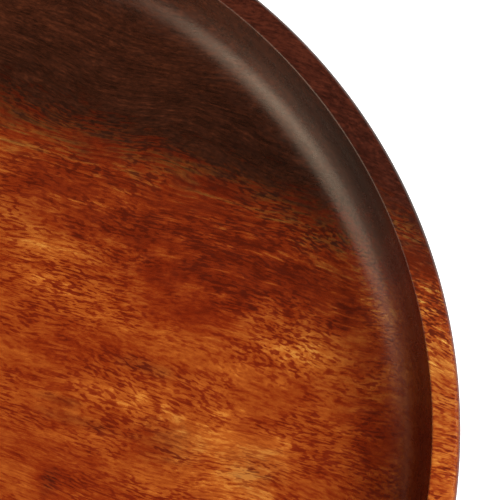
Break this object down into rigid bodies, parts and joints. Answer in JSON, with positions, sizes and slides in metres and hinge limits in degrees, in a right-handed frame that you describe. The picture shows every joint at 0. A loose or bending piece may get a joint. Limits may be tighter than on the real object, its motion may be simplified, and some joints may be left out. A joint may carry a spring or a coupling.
{
  "type": "offering plate",
  "caption": "Shallow round turned wooden plate with a flat floor, a coved steep wall, a narrow rounded rim and a felt-bottomed foot.",
  "frame": {"origin": "middle of the felt's underside, the face that the plate stands on", "axes": "+Z is the turning axis, up out of the bowl; +X and +Y lie in the resting face, with the grain 17 degrees clockwise from +X"},
  "size_m": [0.305, 0.305, 0.0319],
  "materials": {
    "acacia": "semi-gloss clear lacquer",
    "felt": "matt wool-blend felt"
  },
  "bodies": {
    "root": {"main_board": "acacia", "side_board": "acacia", "base_felt": "felt"}
  },
  "joints": []
}
